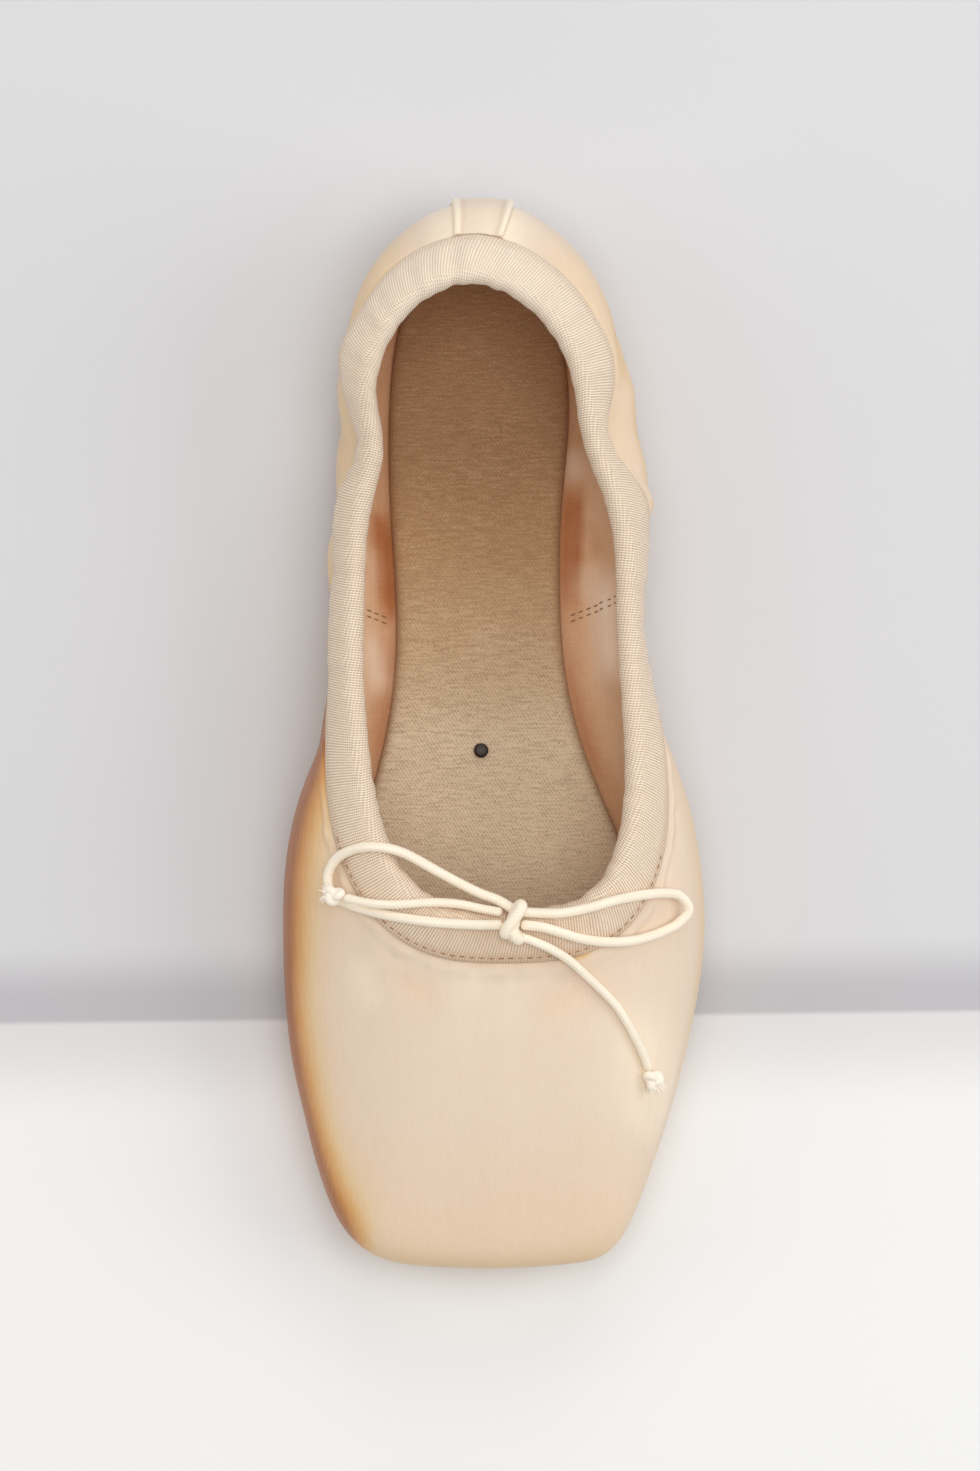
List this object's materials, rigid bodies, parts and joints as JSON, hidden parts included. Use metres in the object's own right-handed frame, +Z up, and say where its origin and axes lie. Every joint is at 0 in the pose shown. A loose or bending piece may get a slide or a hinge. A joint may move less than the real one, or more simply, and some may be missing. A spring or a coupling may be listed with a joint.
{
  "type": "pointe shoe",
  "caption": "Satin pointe shoe with a flat blocked toe platform, folded tape binding with a drawstring bow at the throat, a slim leather outsole and an open collar.",
  "frame": {"origin": "on the floor under the middle of the shoe's length and width, measured without the bow", "axes": "-Y towards the toe platform, +Y towards the heel, +X to the right seen from above, +Z up"},
  "size_m": [0.0948, 0.2404, 0.0576],
  "materials": {
    "satin": "pale peach pink satin, softly glossy, over a stiffened toe box",
    "binding_tape": "matte twill tape folded over the collar edge",
    "heel_strip_satin": "satin strip over the back seam",
    "sole_leather": "tan suede leather",
    "insole_cloth": "tan woven cloth over board",
    "nail": "dark nail head",
    "cord": "soft cream cord"
  },
  "bodies": {
    "root": {"upper": "satin", "binding": "binding_tape", "heel_strip": "heel_strip_satin", "outsole": "sole_leather", "insole": "insole_cloth", "insole_nail": "nail", "bow_knot": "cord", "loop_left": "cord", "loop_right": "cord", "tail_left": "cord", "tail_right": "cord", "end_knot_left": "cord", "end_knot_right": "cord"}
  },
  "joints": []
}
